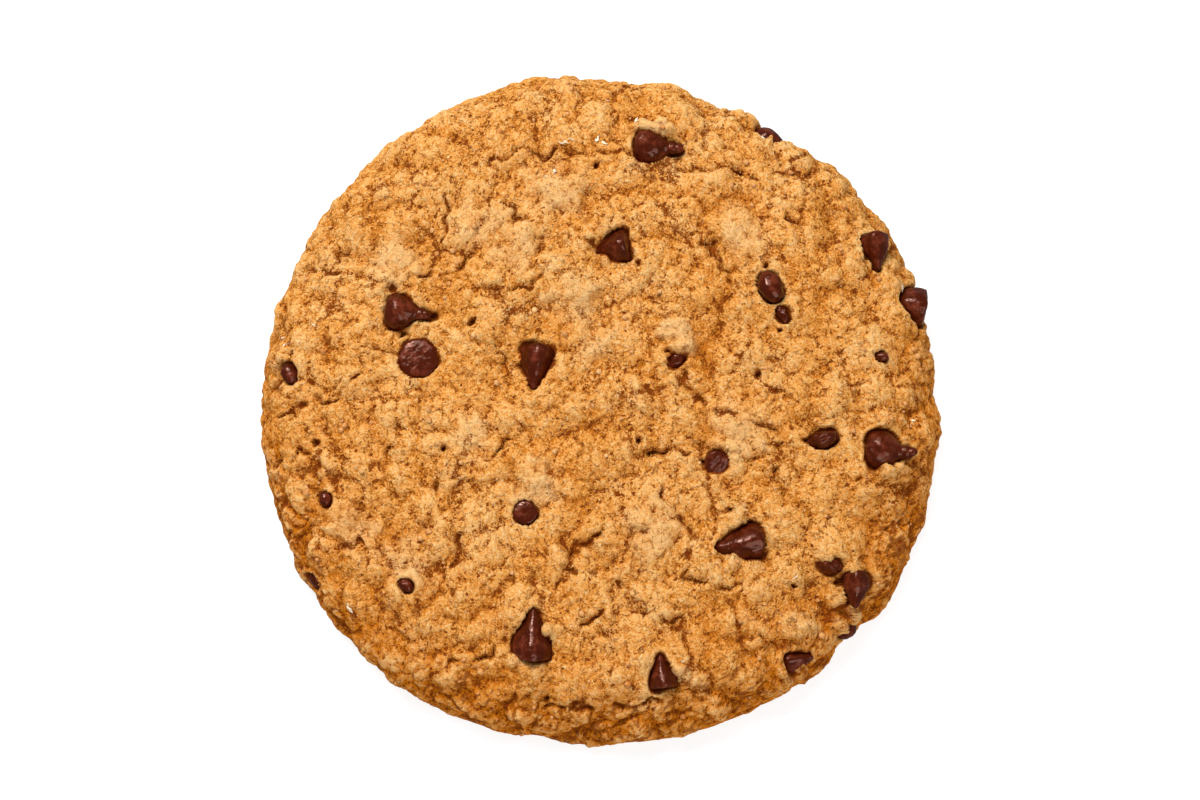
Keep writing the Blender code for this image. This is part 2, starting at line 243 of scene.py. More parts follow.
# The drop's tip ends in rings, which are finer than its solid and take the place of its last points
DROP_BODY_POINTS = 5
RINGED_TIP = (
    (0.20, 0.78), (0.145, 0.86), (0.165, 0.96), (0.12, 1.03),
    (0.135, 1.10), (0.07, 1.18), (0.0, 1.22),
)
KNOB_RINGS = 6
KNOB_LENGTH = 1.35
CHIP_SIDES = 16
FINE_SIDES = 40
RIDGE_HEIGHT = 0.09
# The crust's socket round each chip: full depth under the chip, a ragged trench round it
SOCKET_EDGE, SOCKET_DEPTH = 0.0001, 0.0014
TRENCH_WIDTH, TRENCH_DEPTH = 0.0006, 0.0010
COLUMN_LEVELS = tuple(0.0005 * step for step in range(-3, 6))

# Each chip: its form, its width, the direction of its tip in degrees anticlockwise from the right, and how
# steeply the tip points up. It sits where its solid sits.
Chip = namedtuple("Chip", "form width turn lean")
CHIPS = {
    "chip_01": Chip("drop", 0.0064, -6, 12),
    "chip_02": Chip("cone", 0.0058, 189, -16),
    "chip_03": Chip("drop", 0.0060, -8, 11),
    "chip_04": Chip("button", 0.0067, 0, -88),
    "chip_05": Chip("cone", 0.0062, -97, 14),
    "chip_06": Chip("knob", 0.0029, -62, 0),
    "chip_07": Chip("knob", 0.0020, -80, 0),
    "chip_08": Chip("knob", 0.0020, -35, 0),
    "chip_09": Chip("button", 0.0039, 20, -85),
    "chip_10": Chip("cone", 0.0070, 87, 14),
    "chip_11": Chip("cone", 0.0047, 98, 4),
    "chip_12": Chip("cone", 0.0041, 8, 12),
    "chip_13": Chip("cone", 0.0050, -94, 12),
    "chip_14": Chip("cone", 0.0065, 190, 14),
    "chip_15": Chip("button", 0.0040, 90, -68),
    "chip_16": Chip("shard", 0.0036, 15, 0),
    "chip_17": Chip("drop", 0.0069, -7, 13),
    "chip_18": Chip("knob", 0.0028, 50, 10),
    "chip_19": Chip("knob", 0.0041, -62, 0),
    "chip_20": Chip("shard", 0.0024, -60, 0),
    "chip_21": Chip("cone", 0.0050, -84, 12),
    "chip_22": Chip("cone", 0.0068, 170, 4),
    "chip_23": Chip("knob", 0.0018, 0, 20),
    "chip_24": Chip("knob", 0.0042, -35, 0),
    "chip_25": Chip("shard", 0.0031, -14, 0),
    "chip_26": Chip("knob", 0.0028, 40, 0),
    "chip_27": Chip("knob", 0.0024, -58, 0),
}

# Thin pale flakes that lie on the crust: (pixel, length, direction in degrees)
FLAKES = (
    ((564, 142), 0.0018, 40),
    ((571, 139), 0.0012, -20),
    ((555, 172), 0.0020, 62),
    ((545, 178), 0.0010, -50),
    ((607, 98), 0.0012, -40),
    ((598, 138), 0.0014, -55),
    ((604, 143), 0.0012, 30),
    ((637, 120), 0.0012, 20),
    ((762, 134), 0.0012, 20),
    ((281, 335), 0.0024, -75),
    ((286, 342), 0.0014, -40),
    ((313, 324), 0.0012, 40),
    ((299, 341), 0.0006, 80),
    ((903, 284), 0.0018, 70),
    ((914, 418), 0.0010, 20),
    ((912, 424), 0.0008, -60),
    ((335, 607), 0.0006, 10),
    ((683, 662), 0.0010, 80),
    ((795, 577), 0.0010, 30),
    ((349, 606), 0.0022, -50),
)

# Fineness of the crust: faces across its square grid, and across the base, whose faces are four times as wide
SKIN_FACES_ACROSS = 304
BASE_FACES_ACROSS = SKIN_FACES_ACROSS // 4
BASE_UNEVENNESS = 0.00008

# Crumbs and flakes are dropped on the crust from above it, and crumbs keep clear of the chips
SEED = 11
DROP_HEIGHT = 0.03
CRUMB_CLEARANCE = 0.0008

# Patterns in the materials, as features per metre
SHIFT_SCALE, SHIFT_REACH = 1100.0, 0.0014
SAND_SCALE, GRAIN_SCALE = 3000.0, 1500.0
MOTTLING_SCALE, BLOTCH_SCALE, PATCH_SCALE = 800.0, 230.0, 80.0
LARGE_PIT_SCALE, SMALL_PIT_SCALE = 900.0, 2000.0
CRACK_SCALE, CRACK_HALF_WIDTH, BORDER_HALF_WIDTH = 480.0, 0.00011, 0.00007
SCUFF_SCALE, DIMPLE_SCALE, STREAK_SCALE = 620.0, 1200.0, 1800.0
# How deep the materials' finest relief is
CRUST_BUMP, CRUMB_BUMP, CHIP_BUMP = 0.00018, 0.0001, 0.00013


class DoughSettings(PropertyGroup):
    """Sizes and colours of the crust."""

    lump_height: FloatProperty(
        name="Lumps", description="How far the baked lumps stand out",
        default=0.0025, min=0, unit="LENGTH",
    )
    seam_depth: FloatProperty(
        name="Seams", description="Depth of the seams between plates",
        default=0.0006, min=0, unit="LENGTH",
    )
    crack_depth: FloatProperty(
        name="Cracks", description="Depth of the deepest cracks",
        default=0.0013, min=0, unit="LENGTH",
    )
    nodule_height: FloatProperty(
        name="Nodules", description="Height of the nodules of crumb",
        default=0.00053, min=0, unit="LENGTH",
    )
    granule_height: FloatProperty(
        name="Granules", description="Height of the granules",
        default=0.00037, min=0, unit="LENGTH",
    )
    crust: FloatVectorProperty(
        name="Crust", description="Plain baked crust",
        subtype="COLOR", size=3, default=(0.68, 0.300, 0.066),
    )
    # Raised and sunken also paint light on the crust's tops and shade in its low places, besides its own
    # tones
    raised: FloatVectorProperty(
        name="Raised", description="Tops of the lumps",
        subtype="COLOR", size=3, default=(0.72, 0.43, 0.168),
    )
    sunken: FloatVectorProperty(
        name="Sunken", description="Low places of the crust",
        subtype="COLOR", size=3, default=(0.46, 0.148, 0.014),
    )
    # Painted shade for cracks, seams, creases and holes
    crevice_shade: FloatVectorProperty(
        name="Crevice", description="Depths of the crevices",
        subtype="COLOR", size=3, default=(0.20, 0.040, 0.003),
    )
    pale: FloatVectorProperty(
        name="Pale mounds", description="Smooth pale mounds",
        subtype="COLOR", size=3, default=(0.72, 0.44, 0.185),
    )
    toasted: FloatVectorProperty(
        name="Toasted", description="Browner rim",
        subtype="COLOR", size=3, default=(0.52, 0.148, 0.004),
    )
    sugar: FloatVectorProperty(
        name="Sugar", description="Pale specks of sugar",
        subtype="COLOR", size=3, default=(0.82, 0.56, 0.30),
    )
    # Painted shade in the pinholes and round the chips
    pinhole_shade: FloatVectorProperty(
        name="Pinholes", description="Tiny dark holes",
        subtype="COLOR", size=3, default=(0.20, 0.040, 0.004),
    )


class ChipSettings(PropertyGroup):
    """Looks of the chocolate."""

    chocolate: FloatVectorProperty(
        name="Chocolate", description="Clean chocolate",
        subtype="COLOR", size=3, default=(0.046, 0.0055, 0.0010),
    )
    # Dull, scuffed chocolate lightened into a painted sheen
    bloom_and_sheen: FloatVectorProperty(
        name="Bloom", description="Dull, scuffed chocolate",
        subtype="COLOR", size=3, default=(0.122, 0.021, 0.008),
    )
    unevenness: FloatProperty(
        name="Unevenness", description="How far a chip strays from a turned shape, as a share of its width",
        default=0.09, min=0, max=0.2, subtype="FACTOR",
    )


class CrumbSettings(PropertyGroup):
    """Loose crumbs and flakes."""

    count: IntProperty(
        name="Crumbs", description="How many crumbs lie on the crust",
        default=400, min=0, max=2000,
    )
    largest: FloatProperty(
        name="Largest crumb", description="Width of the largest crumb",
        default=0.0011, min=0.0002, unit="LENGTH",
    )
    flake: FloatVectorProperty(
        name="Flakes", description="Thin pale flakes",
        subtype="COLOR", size=3, default=(0.90, 0.72, 0.50),
    )


class StageSettings(PropertyGroup):
    """Studio round the cookie."""

    key_power: FloatProperty(
        name="Key light", description="Power of the large soft light",
        default=9.7, min=0,
    )
    side_power: FloatProperty(
        name="Side light", description="Power of the smaller light",
        default=4.2, min=0,
    )
    fill_power: FloatProperty(
        name="Fill light", description="Power of the weaker front light",
        default=5.0, min=0,
    )
    surround: FloatProperty(
        name="Surround", description="Strength of the light from all round",
        default=0.25, min=0,
    )
    floor: FloatVectorProperty(
        name="Floor", description="Floor colour",
        subtype="COLOR", size=3, default=(0.35, 0.35, 0.35),
    )


def from_photograph(pixel, height):
    """The (x, y) of what the photograph shows at a pixel, if it lies at this height over the base."""
    right = (pixel[0] - AIM_PIXEL[0]) / PIXELS_PER_METRE
    up = (AIM_PIXEL[1] - pixel[1]) / PIXELS_PER_METRE
    over_aim = height - AIM_HEIGHT
    tilt_sine, tilt_cosine = math.sin(VIEW_TILT), math.cos(VIEW_TILT)
    level_share = (VIEW_DISTANCE - over_aim * tilt_cosine) / VIEW_DISTANCE
    y = (up * level_share - over_aim * tilt_sine) / (tilt_cosine - up * tilt_sine / VIEW_DISTANCE)
    nearness = level_share + y * tilt_sine / VIEW_DISTANCE
    return right * nearness, y


def edge_radius(angles):
    """Radius of the cookie's waist in each direction, with its waves and flaws."""
    radius = np.full_like(angles, COOKIE_RADIUS)
    for waves, height, crest in OUTLINE_WAVES:
        radius += height * np.cos(waves * (angles - math.radians(crest)))
    for direction, half_width, height in EDGE_FLAWS:
        away = (np.degrees(angles) - direction + 180) % 360 - 180
        radius += height * np.exp(-((away / half_width) ** 4))
    return radius


def side_profile():
    """The dough's outline, from the middle of its top to the edge of its base.

    It gives the share of the way, the radius as a share of the waist's, and the height at each step.
    """
    turn = np.linspace(0, math.pi / 2, PROFILE_STEPS)
    radius = np.sin(turn) ** (2 / TOP_FLATNESS)
    height = WAIST_HEIGHT + (DOUGH_HEIGHT - WAIST_HEIGHT) * np.cos(turn) ** (2 / SHOULDER_ROUNDNESS)
    curl = np.linspace(0, math.pi / 2, PROFILE_STEPS // 8)[1:]
    radius = np.concatenate([radius, 1 - BASE_CURL / COOKIE_RADIUS * (1 - np.cos(curl))])
    height = np.concatenate([height, WAIST_HEIGHT * (1 - np.sin(curl))])
    steps = np.hypot(np.diff(radius) * COOKIE_RADIUS, np.diff(height))
    way = np.concatenate([[0], np.cumsum(steps)])
    return way / way[-1], radius, height


def form_points(shares, angles):
    """Points of the plain form and their outward normals, from shares of the way down and angles round it."""
    way, radius, height = side_profile()
    nudge = 0.002
    before, after = np.clip(shares - nudge, 0, 1), np.clip(shares + nudge, 0, 1)
    run = (np.interp(after, way, radius) - np.interp(before, way, radius)) * COOKIE_RADIUS
    fall = np.interp(before, way, height) - np.interp(after, way, height)
    length = np.maximum(np.hypot(run, fall), 1e-9)
    reach = np.interp(shares, way, radius) * edge_radius(angles)
    right, up = np.cos(angles), np.sin(angles)
    points = np.stack([reach * right, reach * up, np.interp(shares, way, height)], axis=1)
    normals = np.stack([fall / length * right, fall / length * up, run / length], axis=1)
    return points, normals


def soft_noise(points, size):
    """Smooth noise of about -1 to 1, with features of this size."""
    return np.array([noise.noise(Vector(p)) for p in points / size])


def patchy(points, size, usual, change):
    """A share from 0 to 1 that comes and goes over the crust in patches of this size."""
    return np.clip(usual + change * soft_noise(points, size), 0, 1)


def cells(points, size):
    """Distances to the nearest and second nearest of scattered cell centres, in cell sizes."""
    found = np.array([noise.voronoi(Vector(p))[0][:2] for p in points / size])
    return found[:, 0], found[:, 1]


def nodules(points, size):
    """Height of round nodules of uneven size pressed together, and how near a crease between them is.

    Heights are in shares of the size. Each point lies under the highest of the four nearest nodules, whose
    radii and lifts come from a hash of where they are.
    """
    found = [noise.voronoi(Vector(p)) for p in points / size]
    away = np.array([distances[:4] for distances, _ in found])
    middles = np.array([centres[:4] for _, centres in found])
    chance = np.sin(middles @ (127.1, 311.7, 74.7)) * 43758.5453 % 1
    second_chance = np.sin(middles @ (269.5, 183.3, 246.1)) * 43758.5453 % 1
    radii = NODULE_RADII[0] + (NODULE_RADII[1] - NODULE_RADII[0]) * chance
    tops = NODULE_LIFT * second_chance + np.sqrt(np.clip(radii**2 - away**2, 0, None)) - NODULE_SLOPE * away
    tops.sort(axis=1)
    return tops[:, -1], np.exp(-(((tops[:, -1] - tops[:, -2]) / CREASE_WIDTH) ** 2))


def above_base(points, band):
    """How far each point is clear of the base: 0 at the base, 1 from this height upwards."""
    return np.clip((points[:, 2] - RELIEF_STARTS) / band, 0, 1)


def warped(points, size, reach):
    """The points moved about a little, the same each time, so that cracks and lumps don't run straight."""
    noise.seed_set(WARP_SEED)
    pushes = np.array([noise.noise_vector(Vector(p)) for p in points / size])
    return points + pushes * reach


def bump(points, pixel, radius):
    """A mask with a flat top and soft edges round what the photograph shows at a pixel."""
    middle = np.array(from_photograph(pixel, DOUGH_HEIGHT))
    away = np.linalg.norm(points[:, :2] - middle, axis=1) / radius
    return np.exp(-(away**4))


def crack_distance(points):
    """Distance from each point to the nearest named crack, seen from above."""
    nearest = np.full(len(points), 1.0)
    for way in CRACKS.values():
        corners = [np.array(from_photograph(pixel, DOUGH_HEIGHT)) for pixel in way]
        for start, end in zip(corners, corners[1:]):
            along = end - start
            share = np.clip((points[:, :2] - start) @ along / (along @ along), 0, 1)
            gap = points[:, :2] - start - share[:, None] * along
            nearest = np.minimum(nearest, np.hypot(gap[:, 0], gap[:, 1]))
    return nearest


def square_to_disc(squares):
    """Polar places on a round disc for points of a square from -1 to 1, with even spacing: radius, angle."""
    x, y = squares[:, 0], squares[:, 1]
    sideways = np.abs(x) >= np.abs(y)
    longer = np.where(sideways, x, y)
    shorter = np.where(sideways, y, x)
    slant = math.pi / 4 * shorter / np.where(longer == 0, 1, longer)
    angle = np.where(sideways, slant, math.pi / 2 - slant) + np.where(longer < 0, math.pi, 0)
    return np.abs(longer), angle


def square_points(across):
    """Even points of a square from -1 to 1, row by row."""
    steps = np.linspace(-1, 1, across + 1)
    x, y = np.meshgrid(steps, steps)
    return np.stack([x.ravel(), y.ravel()], axis=1)


def blurred(values, reach):
    """Values on the skin's square grid, each averaged over the neighbours within this many points."""
    square = values.reshape(SKIN_FACES_ACROSS + 1, SKIN_FACES_ACROSS + 1)
    for axis in (0, 1):
        padded = np.pad(square, [(reach, reach) if a == axis else (0, 0) for a in (0, 1)], mode="edge")
        length = square.shape[axis]
        square = sum(np.take(padded, range(s, s + length), axis=axis) for s in range(2 * reach + 1))
        square = square / (2 * reach + 1)
    return square.ravel()


def knob_profile():
    """The profile of an egg-shaped chip of which only a bump shows, from end to end, about its middle."""
    turns = [math.pi * step / KNOB_RINGS for step in range(KNOB_RINGS + 1)]
    ends = (0, KNOB_RINGS)
    return [
        (0.0 if step in ends else 0.5 * math.sin(turn), -0.5 * KNOB_LENGTH * math.cos(turn))
        for step, turn in enumerate(turns)
    ]


def chip_profile(chip):
    """(radius, height) pairs of the chip's side in metres, its middle at height 0 and its tip at the top."""
    profiles = {"drop": DROP, "cone": CONE, "button": BUTTON, "knob": knob_profile(), "shard": knob_profile()}
    lift = BODY_MIDDLE if chip.form in ("drop", "cone") else 0.0
    return [(radius * chip.width, (height - lift) * chip.width) for radius, height in profiles[chip.form]]


def chip_turn(chip):
    """The chip's rotation, which brings its tip from +Z to where it points."""
    turn, lean = math.radians(chip.turn), math.radians(chip.lean)
    tip = Vector((math.cos(turn) * math.cos(lean), math.sin(turn) * math.cos(lean), math.sin(lean)))
    return tip.to_track_quat("Z", "Y").to_matrix()


def chip_place(node, chip):
    """The chip's place as a matrix: its turned shape is centred on the box of its solid."""
    turn = chip_turn(chip)
    spots = [2 * math.pi * step / CHIP_SIDES for step in range(CHIP_SIDES)]
    ring = [
        turn @ Vector((radius * math.cos(spot), radius * math.sin(spot), height))
        for radius, height in chip_profile(chip)
        for spot in spots
    ]
    low = Vector(min(p[axis] for p in ring) for axis in range(3))
    high = Vector(max(p[axis] for p in ring) for axis in range(3))
    solid_low, solid_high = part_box(node)
    middle = (solid_low + solid_high) / 2 - (low + high) / 2
    return Matrix.Translation(middle) @ turn.to_4x4()


def distance_to_chip(points, place, chip):
    """Distance from each point to the chip's surface, less than 0 inside it."""
    inverse = np.array(place.inverted())
    local = points @ inverse[:3, :3].T + inverse[:3, 3]
    spots = np.stack([np.hypot(local[:, 0], local[:, 1]), local[:, 2]], axis=1)
    side = np.array(chip_profile(chip))
    nearest = np.full(len(points), 1.0)
    for start, end in zip(side, side[1:]):
        along = end - start
        share = np.clip((spots - start) @ along / (along @ along), 0, 1)
        nearest = np.minimum(nearest, np.linalg.norm(spots - start - share[:, None] * along, axis=1))
    inside = (spots[:, 0] < np.interp(spots[:, 1], side[:, 1], side[:, 0])) & (nearest < 1.0)
    inside &= (spots[:, 1] > side[0, 1]) & (spots[:, 1] < side[-1, 1])
    return np.where(inside, -nearest, nearest)


def crust_relief(points, settings):
    """Height of the crust over the plain form at each point, and the masks that its colours follow."""
    moved = warped(points, WARP_SIZE, WARP_REACH)
    ragged = warped(moved, JITTER_SIZE, JITTER_REACH)
    near_plate, next_plate = cells(ragged, PLATE_SIZE)
    near_lump, _ = cells(moved, LUMP_SIZE)
    seam = np.exp(-(((next_plate - near_plate) * PLATE_SIZE / PLATE_SEAM_WIDTH) ** 2))
    seam *= patchy(points, SWELL_SIZE / 2, *SEAM_OPENNESS)
    mound = np.zeros(len(points))
    frayed = warped(ragged, GRANULE_SIZE * 2, JITTER_REACH * 3)
    crack = np.exp(-((crack_distance((ragged + 2 * frayed) / 3) / CRACK_WIDTH) ** 2))
    crack *= patchy(points, NODULE_SIZE, *CRACK_OPENNESS)
    for pixel, radius in MOUNDS:
        mound = np.maximum(mound, bump(frayed, pixel, radius))
    height = SWELL_HEIGHT * soft_noise(points, SWELL_SIZE) + settings.lump_height * (LUMP_LEVEL - near_lump)
    height += MOUND_HEIGHT * mound - settings.seam_depth * seam - settings.crack_depth * crack

    nodule, crease = nodules(ragged, NODULE_SIZE)
    granule, fine_crease = nodules(ragged, GRANULE_SIZE)
    fine = settings.nodule_height * (nodule - NODULE_LEVEL)
    fine += settings.granule_height * (granule - NODULE_LEVEL)
    fine *= (1 - MOUND_SMOOTHNESS * mound) * above_base(points, BASE_BAND)
    hole = np.zeros(len(points))
    uneven = warped(points, GRANULE_SIZE, JITTER_REACH / 2)
    for pixel, radius in HOLES:
        hole = np.maximum(hole, bump(uneven, pixel, radius))
    height -= HOLE_DEPTH * hole
    fade = above_base(points, RELIEF_BAND)
    masks = {
        # The crack mask, which takes in the holes, carries painted shade into the crust's colour
        "crack": np.maximum(crack, 1.3 * hole) * fade,
        "seam": seam * fade,
        "crease": np.maximum(crease, 0.6 * fine_crease),
        "mound": mound * fade,
    }
    return height * fade + fine, masks


def sink_round_chips(points, normals, height):
    """Lowers the crust under each chip and in a ragged trench round it, and laps lumps over some edges.

    It gives the new heights, how deep in a socket or trench each point is, and how pale its lap is.
    """
    under, trench = np.zeros(len(points)), np.zeros(len(points))
    over_base = above_base(points, BASE_BAND)
    for node, chip in CHIPS.items():
        place = chip_place(node, chip)
        middle = np.array(place.translation)
        near = np.flatnonzero(np.linalg.norm(points - middle, axis=1) < 1.6 * chip.width)
        gap = np.full(len(near), 1.0)
        for level in COLUMN_LEVELS:
            gap = np.minimum(gap, distance_to_chip(points[near] + level * normals[near], place, chip))
        under[near] = np.maximum(under[near], np.clip(1 - gap / SOCKET_EDGE, 0, 1))
        openness = patchy(points[near], NODULE_SIZE, *TRENCH_OPENNESS)
        trench[near] = np.maximum(trench[near], np.clip(1 - gap / TRENCH_WIDTH, 0, 1) * openness)
    lowered = height - TRENCH_DEPTH * trench * over_base
    lowered += (np.minimum(lowered, -SOCKET_DEPTH) - lowered) * under * over_base
    lap, pale = np.zeros(len(points)), np.zeros(len(points))
    ragged = warped(warped(points, NODULE_SIZE, JITTER_REACH), GRANULE_SIZE, JITTER_REACH / 2)
    for pixel, radius, lift, paleness in LAPS:
        share = bump(ragged, pixel, radius) * over_base
        lowered += (height + lift - lowered) * share
        lap = np.maximum(lap, share)
        pale = np.maximum(pale, paleness * share)
    return lowered, np.maximum(trench, under) * (1 - lap), pale


def toasting_and_painted_shading(points):
    """How browned the crust is at each point, most at the rim, with painted shading that is darker towards
    the viewer and lighter behind.
    """
    reach = np.hypot(points[:, 0], points[:, 1]) / COOKIE_RADIUS
    nearness = -points[:, 1] / COOKIE_RADIUS
    rim = np.clip((reach - RIM_STARTS) / (1 - RIM_STARTS), 0, 1) ** 1.5
    low = np.clip((LOW_HEIGHT - points[:, 2]) / LOW_BAND, 0, 1)
    blotches = BLOTCH_BROWNING * soft_noise(points, SWELL_SIZE / 2)
    blotches += LUMP_BROWNING * soft_noise(points, LUMP_SIZE)
    # The share that follows the nearness is painted shading: darker in front, lighter behind, towards the
    # lamps
    brown = rim * (RIM_BROWNING + FRONT_PAINTED_SHADING * nearness) + LOW_BROWNING * low
    return np.clip(brown + blotches * (0.35 + rim) + TILT_PAINTED_SHADING * nearness, 0, 1)


def skin_faces():
    """Corner numbers of the crust's square faces and of the coarser squares of the base that closes it."""
    row = SKIN_FACES_ACROSS + 1
    corner = (np.arange(SKIN_FACES_ACROSS)[:, None] * row + np.arange(SKIN_FACES_ACROSS)[None, :]).ravel()
    faces = np.stack([corner, corner + 1, corner + row + 1, corner + row], axis=1).tolist()
    step = SKIN_FACES_ACROSS // BASE_FACES_ACROSS
    first_inner = row * row
    inner = BASE_FACES_ACROSS - 1

    def base_corner(i, j):
        if i in (0, BASE_FACES_ACROSS) or j in (0, BASE_FACES_ACROSS):
            return i * step * row + j * step
        return first_inner + (i - 1) * inner + j - 1

    for i in range(BASE_FACES_ACROSS):
        for j in range(BASE_FACES_ACROSS):
            square = [(i, j), (i + 1, j), (i + 1, j + 1), (i, j + 1)]
            face = []
            for (i0, j0), (i1, j1) in zip(square, square[1:] + square[:1]):
                face.append(base_corner(i0, j0))
                on_side = i0 == i1 and i0 in (0, BASE_FACES_ACROSS)
                on_end = j0 == j1 and j0 in (0, BASE_FACES_ACROSS)
                if on_side or on_end:
                    start = i0 * step * row + j0 * step
                    stride = (i1 - i0) * row + (j1 - j0)
                    face += [start + stride * s for s in range(1, step)]
            faces.append(face)
    return faces


def base_points():
    """Inner points of the flat, faintly uneven base."""
    squares = square_points(BASE_FACES_ACROSS)
    inner = (np.abs(squares) < 1 - 1e-6).all(axis=1)
    shares, angles = square_to_disc(squares[inner])
    reach = shares * (edge_radius(angles) - BASE_CURL)
    points = np.stack([reach * np.cos(angles), reach * np.sin(angles), np.zeros(len(reach))], axis=1)
    from_edge = np.clip((1 - shares) * 12, 0, 1)
    points[:, 2] = BASE_UNEVENNESS * (1 + soft_noise(points, GRANULE_SIZE * 2)) * from_edge
    return points


def shown(name, mesh, surface):
    """Puts a finished mesh into the scene as a piece of the cookie."""
    mesh.materials.clear()
    mesh.materials.append(surface)
    mesh.shade_smooth()
    piece = bpy.data.objects.new(name, mesh)
    bpy.context.scene.collection.objects.link(piece)
    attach(piece, "root")
    return piece


def set_mask(mesh, name, values):
    """Stores a value for each point of the mesh, which its material reads."""
    attribute = mesh.attributes.new(name, "FLOAT", "POINT")
    attribute.data.foreach_set("value", np.asarray(values, dtype=np.float32))


def add_node(tree, kind, inputs=None, **settings):
    """A new shader node, with its settings, and with its sockets set or linked."""
    made = tree.nodes.new(kind)
    for key, value in settings.items():
        setattr(made, key, value)
    for key, value in (inputs or {}).items():
        if isinstance(value, bpy.types.NodeSocket):
            tree.links.new(value, made.inputs[key])
        else:
            made.inputs[key].default_value = value
    return made


def calculate(tree, operation, *values):
    """A Math node's result."""
    return add_node(tree, "ShaderNodeMath", dict(enumerate(values)), operation=operation).outputs[0]


def times(tree, first, second):
    """Two values multiplied."""
    return calculate(tree, "MULTIPLY", first, second)


def rescale(tree, value, low, high, new_low=0.0, new_high=1.0):
    """A value brought from one range to another, smoothly and held at the ends."""
    inputs = {"Value": value, "From Min": low, "From Max": high, "To Min": new_low, "To Max": new_high}
    return add_node(tree, "ShaderNodeMapRange", inputs, interpolation_type="SMOOTHSTEP").outputs["Result"]


def mix_colour(tree, share, first, second):
    """Two colours mixed. A colour is a socket or three numbers."""
    made = add_node(tree, "ShaderNodeMix", {"Factor": share}, data_type="RGBA", clamp_factor=True)
    for key, value in (("A", first), ("B", second)):
        socket = next(s for s in made.inputs if s.name == key and s.type == "RGBA")
        if isinstance(value, bpy.types.NodeSocket):
            tree.links.new(value, socket)
        else:
            socket.default_value = (*value, 1.0)
    return next(s for s in made.outputs if s.type == "RGBA")


def noise_texture(tree, where, scale, detail, roughness=0.5):
    """A noise texture with this many features per metre."""
    inputs = {"Vector": where, "Scale": scale, "Detail": detail, "Roughness": roughness}
    return add_node(tree, "ShaderNodeTexNoise", inputs)


def add_bump(tree, shader, height, depth, strength=1.0):
    """Gives the shader fine relief of this depth from a height."""
    skin = add_node(tree, "ShaderNodeBump", {"Height": height, "Strength": strength, "Distance": depth})
    tree.links.new(skin.outputs["Normal"], shader.inputs["Normal"])


def mask_of(tree, name):
    """The mask that a mesh carries under this name."""
    return add_node(tree, "ShaderNodeAttribute", attribute_name=name).outputs["Fac"]


def new_group(name, inputs, outputs):
    """An empty shader node group with its sockets: the tree, the group's inputs and its output node."""
    tree = bpy.data.node_groups.new(name, "ShaderNodeTree")
    for label, kind, default in inputs:
        socket = tree.interface.new_socket(name=label, in_out="INPUT", socket_type=kind)
        if default is not None:
            socket.default_value = default
    for label, kind in outputs:
        tree.interface.new_socket(name=label, in_out="OUTPUT", socket_type=kind)
    return tree, tree.nodes.new("NodeGroupInput").outputs, tree.nodes.new("NodeGroupOutput").inputs


def cell_borders(tree, where, scale, half_width, brokenness):
    """Thin lines between cells of this many per metre, missing where the brokenness is high."""
    inputs = {"Vector": where, "Scale": scale}
    borders = add_node(tree, "ShaderNodeTexVoronoi", inputs, feature="DISTANCE_TO_EDGE")
    reach = times(tree, borders.outputs["Distance"], 1 / (half_width * scale))
    return rescale(tree, calculate(tree, "ADD", reach, brokenness), 1.4, 0.4)


def open_pits(tree, where, scale, openness, reach, closed):
    """Small round pits, this many per metre and as wide as chance and the openness let them be."""
    pits = add_node(tree, "ShaderNodeTexVoronoi", {"Vector": where, "Scale": scale})
    chance = add_node(tree, "ShaderNodeSeparateColor", {"Color": pits.outputs["Color"]}).outputs["Red"]
    radius = times(tree, calculate(tree, "ADD", chance, openness), reach)
    depth = calculate(tree, "SUBTRACT", calculate(tree, "SUBTRACT", radius, closed), pits.outputs["Distance"])
    return rescale(tree, depth, -0.02, 0.02)


